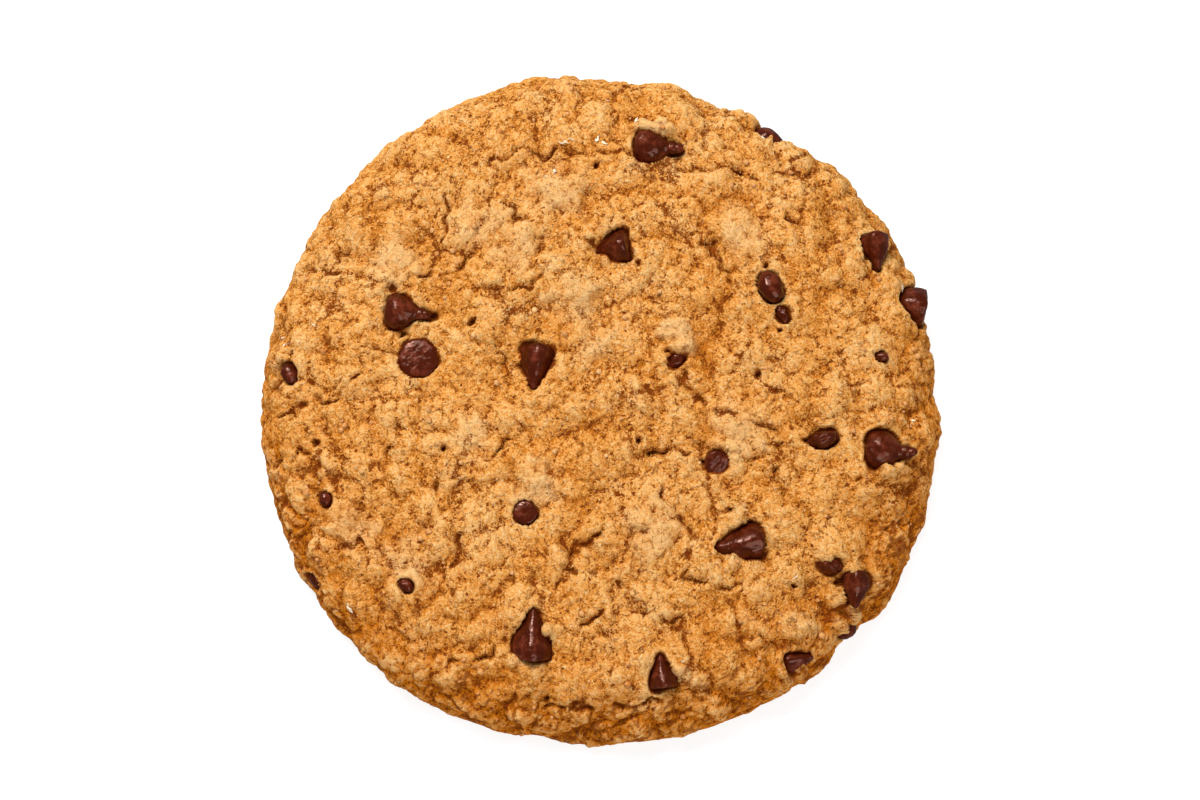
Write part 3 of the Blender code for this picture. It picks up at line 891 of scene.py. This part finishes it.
def sugar_grain():
    """Node group of baked dough: its sandy grain, granules, thin cracks, mottling and pinholes."""
    name = "Sugar grain"
    if name in bpy.data.node_groups:
        return bpy.data.node_groups[name]
    inputs = (("Vector", "NodeSocketVector", None), ("Openness", "NodeSocketFloat", 0.5))
    outputs = ("Grain", "Granules", "Borders", "Cracks", "Tint", "Mottling", "Blotches", "Pinholes")
    tree, given, result = new_group(name, inputs, [(label, "NodeSocketFloat") for label in outputs])
    where = given["Vector"]
    shift = noise_texture(tree, where, SHIFT_SCALE, 3.0, 0.7).outputs["Color"]
    centred = add_node(tree, "ShaderNodeVectorMath", {0: shift, 1: (0.5, 0.5, 0.5)}, operation="SUBTRACT")
    reach = {0: centred.outputs[0], "Scale": SHIFT_REACH}
    pushed = add_node(tree, "ShaderNodeVectorMath", reach, operation="SCALE").outputs[0]
    moved = add_node(tree, "ShaderNodeVectorMath", {0: where, 1: pushed}, operation="ADD").outputs[0]

    sand = noise_texture(tree, where, SAND_SCALE, 2.0, 0.7).outputs["Fac"]
    tree.links.new(rescale(tree, sand, 0.30, 0.70), result["Grain"])
    granules = add_node(tree, "ShaderNodeTexVoronoi", {"Vector": moved, "Scale": GRAIN_SCALE})
    away = calculate(tree, "POWER", granules.outputs["Distance"], 2.0)
    tree.links.new(calculate(tree, "SUBTRACT", 1.0, times(tree, away, 1.6)), result["Granules"])
    tint = add_node(tree, "ShaderNodeSeparateColor", {"Color": granules.outputs["Color"]}).outputs["Green"]
    tree.links.new(tint, result["Tint"])
    mottling = rescale(tree, noise_texture(tree, where, MOTTLING_SCALE, 3.0, 0.7).outputs["Fac"], 0.30, 0.70)
    tree.links.new(mottling, result["Mottling"])
    broad = noise_texture(tree, where, BLOTCH_SCALE, 3.0, 0.6).outputs["Fac"]
    tree.links.new(rescale(tree, broad, 0.30, 0.70), result["Blotches"])
    tree.links.new(cell_borders(tree, moved, GRAIN_SCALE, BORDER_HALF_WIDTH, mottling), result["Borders"])
    closedness = times(tree, calculate(tree, "SUBTRACT", 1.9, given["Openness"]), mottling)
    tree.links.new(cell_borders(tree, moved, CRACK_SCALE, CRACK_HALF_WIDTH, closedness), result["Cracks"])

    large = open_pits(tree, moved, LARGE_PIT_SCALE, given["Openness"], 0.20, 0.08)
    small = open_pits(tree, moved, SMALL_PIT_SCALE, given["Openness"], 0.26, 0.14)
    tree.links.new(calculate(tree, "MAXIMUM", large, small), result["Pinholes"])
    return tree


def new_material(name, roughness):
    """A material, its node tree, its shader and its object coordinates."""
    made = bpy.data.materials.new(name)
    made.use_nodes = True
    tree = made.node_tree
    shader = tree.nodes["Principled BSDF"]
    shader.inputs["Roughness"].default_value = roughness
    where = add_node(tree, "ShaderNodeTexCoord").outputs["Object"]
    return made, tree, shader, where


def weighted(tree, *parts):
    """The sum of sockets, each times its weight, about the middle of their range."""
    total = 0.5
    for socket, weight in parts:
        total = calculate(tree, "MULTIPLY_ADD", calculate(tree, "SUBTRACT", socket, 0.5), weight, total)
    return total


def dough_material(settings):
    """Baked crust: colours that follow its relief, with painted light on the tops and painted shade in the
    low places, cracks, creases and pinholes, and with sugar grain.
    """
    made, tree, shader, where = new_material("baked_crust", 0.72)
    shader.inputs["Specular IOR Level"].default_value = 0.02
    shader.inputs["Subsurface Weight"].default_value = 0.30
    shader.inputs["Subsurface Radius"].default_value = (1.0, 0.65, 0.40)
    shader.inputs["Subsurface Scale"].default_value = 0.0004
    crack, seam, crease = (mask_of(tree, name) for name in ("crack", "seam", "crease"))
    # The toast mask holds the rim's real toasted brown and painted shading, darker towards the viewer
    trench, mound, toast = (mask_of(tree, name) for name in ("trench", "mound", "toast"))
    fine, broad = mask_of(tree, "fine_height"), mask_of(tree, "broad_height")
    openness = weighted(tree, (fine, -0.8), (broad, -0.6), (crease, 0.7), (mound, -0.5), (toast, 0.3))
    openness = calculate(tree, "MULTIPLY_ADD", calculate(tree, "MAXIMUM", seam, crack), 0.6, openness)
    grain = add_node(tree, "ShaderNodeGroup", node_tree=sugar_grain())
    tree.links.new(where, grain.inputs["Vector"])
    tree.links.new(openness, grain.inputs["Openness"])
    sand, granules, borders, cracks, tint, mottling, blotches, pinholes = grain.outputs

    patches = noise_texture(tree, where, PATCH_SCALE, 2.0).outputs["Fac"]
    # Painted light and shade: the colour is paler on the tops of lumps and granules and darker in low places,
    # over the crust's own mottling and grain
    relief_light_and_shade = weighted(tree, (fine, 0.22), (broad, 0.32), (granules, 0.20))
    tone = weighted(tree, (relief_light_and_shade, 1.0), (mottling, 0.10), (blotches, 0.14), (sand, 0.60), (tint, 0.18))
    tone = weighted(tree, (tone, 1.0), (patches, 0.80))
    colour = mix_colour(tree, rescale(tree, tone, 0.15, 0.55), settings.sunken, settings.crust)
    colour = mix_colour(tree, rescale(tree, tone, 0.50, 1.0), colour, settings.raised)
    paleness = times(tree, mound, weighted(tree, (mottling, 0.5), (blotches, 0.6)))
    colour = mix_colour(tree, paleness, colour, settings.pale)
    # Toasted colour from the toast mask, more in low places: real toasted brown with painted shading, darker
    # towards the viewer and in the hollows
    browning_and_shading = weighted(tree, (fine, -0.4), (broad, -0.4), (mottling, -0.3))
    browning_and_shading = times(tree, times(tree, toast, 1.7), browning_and_shading)
    colour = mix_colour(tree, browning_and_shading, colour, settings.toasted)
    sugar = times(tree, rescale(tree, tint, 0.84, 0.92), rescale(tree, granules, 0.75, 0.95))
    colour = mix_colour(tree, times(tree, sugar, 0.25), colour, settings.sugar)
    # Painted shade in the thin borders between granules
    colour = mix_colour(tree, times(tree, borders, 0.30), colour, settings.sunken)

    # Painted shade: cracks, seams, creases, furrows, holes and the trenches round the chips are darkened to a
    # near-black red-brown, in place of the shade they would hold
    ragged = weighted(tree, (mottling, 1.0), (sand, 0.8))
    dark = calculate(tree, "MAXIMUM", crack, times(tree, seam, 0.65))
    dark = calculate(tree, "MAXIMUM", dark, times(tree, trench, 0.8))
    dark = calculate(tree, "MAXIMUM", dark, times(tree, crease, times(tree, openness, 0.35)))
    dark = calculate(tree, "SUBTRACT", times(tree, dark, 1.3), ragged)
    dark = calculate(tree, "MAXIMUM", rescale(tree, dark, -0.05, 0.65), times(tree, cracks, 0.65))
    furrow = weighted(tree, (crease, 1.0), (sand, 0.35), (mottling, 0.7), (toast, 0.6))
    dark = calculate(tree, "MAXIMUM", dark, times(tree, rescale(tree, furrow, 0.72, 0.95), 0.75))
    colour = mix_colour(tree, times(tree, dark, 0.9), colour, settings.crevice_shade)
    # Painted shade in the pinholes, and a painted shadow in the socket and trench round each chip
    socket = rescale(tree, trench, 0.15, 0.65)
    pits = calculate(tree, "MAXIMUM", times(tree, pinholes, 0.95), socket)
    colour = mix_colour(tree, pits, colour, settings.pinhole_shade)
    tree.links.new(colour, shader.inputs["Base Color"])
    height = weighted(tree, (sand, 0.6), (granules, 0.8), (mottling, 0.6), (pinholes, -1.4), (cracks, -0.7))
    add_bump(tree, shader, height, CRUST_BUMP)
    tree.links.new(rescale(tree, sand, 0.2, 0.9, 0.85, 0.60), shader.inputs["Roughness"])
    return made


def crumb_material(settings):
    """Loose crumbs of the same dough."""
    made, tree, shader, where = new_material("loose_crumbs", 0.8)
    grain = add_node(tree, "ShaderNodeGroup", node_tree=sugar_grain())
    tree.links.new(where, grain.inputs["Vector"])
    grain.inputs["Openness"].default_value = 0.0
    colour = mix_colour(tree, grain.outputs["Mottling"], settings.sunken, settings.raised)
    colour = mix_colour(tree, times(tree, mask_of(tree, "toast"), 0.8), colour, settings.toasted)
    tree.links.new(colour, shader.inputs["Base Color"])
    add_bump(tree, shader, grain.outputs["Grain"], CRUMB_BUMP, strength=0.8)
    return made


def chocolate_material(settings):
    """Softly shiny chocolate with dull, scuffed places that are partly a painted sheen, dimples and small
    broken highlights.
    """
    made, tree, shader, where = new_material("chocolate", 0.40)
    shader.inputs["Specular IOR Level"].default_value = 0.30
    shader.inputs["Specular Tint"].default_value = (1.0, 0.58, 0.46, 1.0)
    scuffs = noise_texture(tree, where, SCUFF_SCALE, 5.0, 0.62).outputs["Fac"]
    # Lighter dull patches: partly real scuffs and dullness of the chocolate, partly a painted sheen in place
    # of soft reflections
    bloom_and_sheen = rescale(tree, scuffs, 0.44, 0.72)
    tree.links.new(mix_colour(tree, bloom_and_sheen, settings.chocolate, settings.bloom_and_sheen), shader.inputs["Base Color"])
    tree.links.new(rescale(tree, scuffs, 0.35, 0.75, 0.13, 0.32), shader.inputs["Roughness"])
    dimples = noise_texture(tree, where, DIMPLE_SCALE, 1.0).outputs["Fac"]
    add_bump(tree, shader, dimples, CHIP_BUMP)
    return made


def flake_material(settings):
    """Thin pale flakes."""
    made, tree, shader, where = new_material("pale_flakes", 0.45)
    streaks = noise_texture(tree, where, STREAK_SCALE, 2.0).outputs["Fac"]
    darker = tuple(channel * 0.78 for channel in settings.flake)
    colour = mix_colour(tree, streaks, settings.flake, darker)
    tree.links.new(colour, shader.inputs["Base Color"])
    return made


def floor_material(settings):
    """Plain white floor that glows a little, as a lit studio table does."""
    made, _, shader, _ = new_material("studio_floor", 0.9)
    shader.inputs["Base Color"].default_value = (*settings.floor, 1.0)
    shader.inputs["Specular IOR Level"].default_value = 0.0
    shader.inputs["Emission Color"].default_value = (1.0, 1.0, 1.0, 1.0)
    shader.inputs["Emission Strength"].default_value = 0.75
    return made


class COOKIE_OT_dough(Operator):
    """Builds the craggy crust, its side wall and its flat base over the dough's solid"""

    bl_idname = "cookie.dough"
    bl_label = "Dough"

    def execute(self, context):
        settings = context.scene.cookie_dough
        points, normals = form_points(*square_to_disc(square_points(SKIN_FACES_ACROSS)))
        height, masks = crust_relief(points, settings)
        height, masks["trench"], pale_laps = sink_round_chips(points, normals, height)
        masks["mound"] = np.maximum(masks["mound"], pale_laps)
        masks["fine_height"] = np.clip(0.5 + (height - blurred(height, FINE_BLUR)) / FINE_SPAN, 0, 1)
        masks["broad_height"] = np.clip(0.5 + (height - blurred(height, BROAD_BLUR)) / BROAD_SPAN, 0, 1)
        masks["toast"] = toasting_and_painted_shading(points)
        points += normals * height[:, None]
        base = base_points()
        mesh = bpy.data.meshes.new("dough_crust")
        mesh.from_pydata(np.concatenate([points, base]).tolist(), [], skin_faces())
        mesh.update()
        for name, values in masks.items():
            level = 0.5 if "height" in name else 0.0
            set_mask(mesh, name, np.concatenate([values, np.full(len(base), level)]))
        piece = shown("dough_crust", mesh, dough_material(settings))
        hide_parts("dough")
        return {"FINISHED"}


def rounded(profile, rounds):
    """The profile with its corners cut off over and over, so that it turns smoothly."""
    for _ in range(rounds):
        cut = [profile[0]]
        for (r0, h0), (r1, h1) in zip(profile, profile[1:]):
            cut.append((0.75 * r0 + 0.25 * r1, 0.75 * h0 + 0.25 * h1))
            cut.append((0.25 * r0 + 0.75 * r1, 0.25 * h0 + 0.75 * h1))
        profile = cut + [profile[-1]]
    return profile


def uneven_chip(chip, place, share):
    """A fine mesh of the chip in its place: slumped, faintly pitted, and ridged on a cone's upper side."""
    side = chip_profile(chip)
    if chip.form == "drop":
        tip = [(radius * chip.width, (height - BODY_MIDDLE) * chip.width) for radius, height in RINGED_TIP]
        side = side[:DROP_BODY_POINTS] + tip
    side = [(0.0, side[0][1]), *rounded(side, 2)[1:-1], (0.0, side[-1][1])]
    shape = bmesh.new()
    rings = []
    for radius, height in side:
        count = FINE_SIDES if radius > 0 else 1
        spots = [2 * math.pi * step / count for step in range(count)]
        rings.append([shape.verts.new((radius * math.cos(a), radius * math.sin(a), height)) for a in spots])
    for lower, upper in zip(rings, rings[1:]):
        for step in range(FINE_SIDES):
            after = (step + 1) % FINE_SIDES
            corners = [lower[step % len(lower)], lower[after % len(lower)]]
            corners += [upper[after % len(upper)], upper[step % len(upper)]]
            shape.faces.new(list(dict.fromkeys(corners)))
    bmesh.ops.recalc_face_normals(shape, faces=shape.faces)
    offset = Vector((chip.turn, chip.width * 1e4, 0))
    ridge_turn = 0.5 * noise.noise(offset)
    for vertex in shape.verts:
        where = vertex.co / chip.width
        swell = noise.noise(where * 2.2 + offset) + 0.5 * noise.noise(where * 5.0 + offset)
        pits = noise.noise(where * 13.0 + offset)
        if chip.form == "cone":
            from_ridge = abs(math.atan2(where.x, where.y) - ridge_turn)
            flank = math.exp(-(((from_ridge - 0.9) / 0.45) ** 2))
            sideways = 1 + RIDGE_HEIGHT * math.exp(-((from_ridge / 0.35) ** 2)) - RIDGE_HEIGHT * flank
            vertex.co.x *= sideways
            vertex.co.y *= sideways
        fold = abs(noise.noise(where * 3.4 + offset))
        vertex.co *= 1 + share * (swell + 0.25 * pits - 1.2 * max(0, 0.25 - fold))
        if chip.form == "shard":
            vertex.co.x *= 0.75
            dents = 0.25 * noise.noise(where * 3.1 + offset) + 0.12 * noise.noise(where * 7.0 + offset)
            vertex.co *= 1 + dents
    shape.transform(place)
    return shape


class COOKIE_OT_chips(Operator):
    """Builds each chocolate chip where its solid sits"""

    bl_idname = "cookie.chips"
    bl_label = "Chocolate chips"

    def execute(self, context):
        settings = context.scene.cookie_chips
        surface = chocolate_material(settings)
        for node, chip in CHIPS.items():
            mesh = bpy.data.meshes.new("chocolate_" + node)
            shape = uneven_chip(chip, chip_place(node, chip), settings.unevenness)
            shape.to_mesh(mesh)
            shape.free()
            piece = shown("chocolate_" + node, mesh, surface)
            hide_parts(node)
        return {"FINISHED"}


def crust_tree():
    """The crust's surface, to drop crumbs onto."""
    mesh = bpy.data.objects["dough_crust"].data
    points = [vertex.co for vertex in mesh.vertices]
    return BVHTree.FromPolygons(points, [tuple(face.vertices) for face in mesh.polygons])


def on_a_chip(spot, chips):
    """Whether a place lies on a chip or too near to one."""
    return any(distance_to_chip(np.array([spot]), place, chip)[0] < CRUMB_CLEARANCE for place, chip in chips)


class COOKIE_OT_crumbs(Operator):
    """Scatters loose crumbs over the crust"""

    bl_idname = "cookie.crumbs"
    bl_label = "Crumbs"

    def execute(self, context):
        settings = context.scene.cookie_crumbs
        random = np.random.default_rng(SEED)
        surface = crust_tree()
        shape = bmesh.new()
        chips = [(chip_place(node, chip), chip) for node, chip in CHIPS.items()]
        toast = []
        for number in range(settings.count):
            reach = math.sqrt(random.random()) * COOKIE_RADIUS * 0.985
            angle = random.random() * 2 * math.pi
            drop_from = Vector((reach * math.cos(angle), reach * math.sin(angle), DROP_HEIGHT))
            spot, normal, _, _ = surface.ray_cast(drop_from, Vector((0, 0, -1)))
            if spot is None or on_a_chip(spot, chips):
                continue
            size = settings.largest * (0.30 + 0.70 * random.random() ** 3)
            spin = Vector(random.normal(size=3)).to_track_quat("Z", "Y").to_matrix().to_4x4()
            place = Matrix.Translation(spot + normal * size * 0.15) @ spin
            made = bmesh.ops.create_icosphere(shape, subdivisions=2, radius=size / 2, matrix=place)
            for vertex in made["verts"]:
                away = vertex.co - spot
                away *= 1 + 0.35 * noise.noise(away / size * 2.5 + Vector((number, 0, 0)))
                vertex.co = spot + away
            toast += [reach / COOKIE_RADIUS] * len(made["verts"])
        mesh = bpy.data.meshes.new("loose_crumbs")
        shape.to_mesh(mesh)
        shape.free()
        set_mask(mesh, "toast", np.clip(np.array(toast) - 0.45, 0, 1))
        shown("loose_crumbs", mesh, crumb_material(context.scene.cookie_dough))
        return {"FINISHED"}


class COOKIE_OT_flakes(Operator):
    """Lays thin pale flakes on the crust"""

    bl_idname = "cookie.flakes"
    bl_label = "Flakes"

    def execute(self, context):
        random = np.random.default_rng(SEED + 1)
        surface = crust_tree()
        shape = bmesh.new()
        for number, (pixel, length, turn) in enumerate(FLAKES):
            x, y = from_photograph(pixel, DOUGH_HEIGHT - 0.001)
            spot, normal, _, _ = surface.ray_cast(Vector((x, y, DROP_HEIGHT)), Vector((0, 0, -1)))
            if spot is None:
                spot, normal, _, _ = surface.find_nearest(Vector((x, y, 0.006)))
            lie = normal.to_track_quat("Z", "Y").to_matrix().to_4x4()
            tilt = Matrix.Rotation(0.35 * random.normal(), 4, "X")
            spin = Matrix.Rotation(math.radians(turn), 4, "Z")
            place = Matrix.Translation(spot + normal * 0.0002) @ lie @ (tilt @ spin)
            made = bmesh.ops.create_icosphere(shape, subdivisions=3, radius=length / 2)
            for vertex in made["verts"]:
                vertex.co.y *= 0.16 + 0.06 * math.sin(vertex.co.x / length * 9 + number)
                vertex.co.z *= 0.08
                bend = vertex.co / length * 3 + Vector((number, 0, 0))
                sideways, upwards = 0.25 * noise.noise(bend), 0.12 * noise.noise(bend * 1.3)
                vertex.co += Vector((0, length * sideways, length * upwards))
                vertex.co = place @ vertex.co
        mesh = bpy.data.meshes.new("pale_flakes")
        shape.to_mesh(mesh)
        shape.free()
        shown("pale_flakes", mesh, flake_material(context.scene.cookie_crumbs))
        return {"FINISHED"}


def soft_light(name, power, size, place):
    """A large square light that faces the cookie."""
    lamp = bpy.data.lights.new(name, "AREA")
    lamp.energy = power
    lamp.size = size
    light = bpy.data.objects.new(name, lamp)
    light.location = place
    light.rotation_euler = Vector(place).to_track_quat("Z", "Y").to_euler()
    bpy.context.scene.collection.objects.link(light)


class COOKIE_OT_stage(Operator):
    """Sets the white floor, the soft lights and the camera"""

    bl_idname = "cookie.stage"
    bl_label = "Studio"

    def execute(self, context):
        settings = context.scene.cookie_stage
        scene = context.scene
        mesh = bpy.data.meshes.new("floor")
        plane = bmesh.new()
        bmesh.ops.create_grid(plane, x_segments=1, y_segments=1, size=3.0)
        bmesh.ops.translate(plane, verts=plane.verts, vec=(0, 0, -0.0001))
        plane.to_mesh(mesh)
        plane.free()
        mesh.materials.append(floor_material(settings))
        floor = bpy.data.objects.new("floor", mesh)
        scene.collection.objects.link(floor)
        floor.visible_glossy = False

        world = bpy.data.worlds.new("studio")
        world.use_nodes = True
        world.node_tree.nodes["Background"].inputs["Color"].default_value = (1.0, 1.0, 1.0, 1.0)
        world.node_tree.nodes["Background"].inputs["Strength"].default_value = settings.surround
        scene.world = world
        soft_light("key_light", settings.key_power, 0.65, (-0.25, 0.55, 0.75))
        soft_light("side_light", settings.side_power, 0.14, (-0.32, 0.50, 0.72))
        soft_light("fill_light", settings.fill_power, 0.60, (0.35, -0.65, 0.55))

        lens = bpy.data.cameras.new("camera")
        lens.sensor_width = SENSOR_WIDTH
        lens.lens = SENSOR_WIDTH * PIXELS_PER_METRE * VIEW_DISTANCE / FRAME_WIDTH
        lens.shift_x = (FRAME_WIDTH / 2 - AIM_PIXEL[0]) / FRAME_WIDTH
        lens.shift_y = (AIM_PIXEL[1] - FRAME_HEIGHT / 2) / FRAME_WIDTH
        lens.clip_start = 0.01
        camera = bpy.data.objects.new("camera", lens)
        camera.location = (
            0.0,
            -VIEW_DISTANCE * math.sin(VIEW_TILT),
            AIM_HEIGHT + VIEW_DISTANCE * math.cos(VIEW_TILT),
        )
        camera.rotation_euler = (VIEW_TILT, 0.0, 0.0)
        scene.collection.objects.link(camera)
        scene.camera = camera
        scene.view_settings.view_transform = "Standard"
        return {"FINISHED"}


class COOKIE_PT_panel(Panel):
    """Buttons and settings of the cookie"""

    bl_idname = "COOKIE_PT_panel"
    bl_label = "Cookie"
    bl_space_type = "VIEW_3D"
    bl_region_type = "UI"
    bl_category = "Cookie"

    def draw(self, context):
        steps = (
            ("cookie.dough", "cookie_dough"),
            ("cookie.chips", "cookie_chips"),
            ("cookie.crumbs", "cookie_crumbs"),
            ("cookie.flakes", None),
            ("cookie.stage", "cookie_stage"),
        )
        for button, group in steps:
            box = self.layout.box()
            box.operator(button)
            settings = getattr(context.scene, group) if group else None
            for key in type(settings).__annotations__ if settings else ():
                box.prop(settings, key)


CLASSES = (
    DoughSettings,
    ChipSettings,
    CrumbSettings,
    StageSettings,
    COOKIE_OT_dough,
    COOKIE_OT_chips,
    COOKIE_OT_crumbs,
    COOKIE_OT_flakes,
    COOKIE_OT_stage,
    COOKIE_PT_panel,
)


def register():
    for made in CLASSES:
        bpy.utils.register_class(made)
    bpy.types.Scene.cookie_dough = PointerProperty(type=DoughSettings)
    bpy.types.Scene.cookie_chips = PointerProperty(type=ChipSettings)
    bpy.types.Scene.cookie_crumbs = PointerProperty(type=CrumbSettings)
    bpy.types.Scene.cookie_stage = PointerProperty(type=StageSettings)


def unregister():
    for name in ("cookie_dough", "cookie_chips", "cookie_crumbs", "cookie_stage"):
        delattr(bpy.types.Scene, name)
    for made in reversed(CLASSES):
        bpy.utils.unregister_class(made)


def main():
    """Builds the whole cookie and its studio."""
    register()
    bpy.ops.cookie.dough()
    bpy.ops.cookie.chips()
    bpy.ops.cookie.crumbs()
    bpy.ops.cookie.flakes()
    bpy.ops.cookie.stage()


if __name__ == "__main__":
    main()
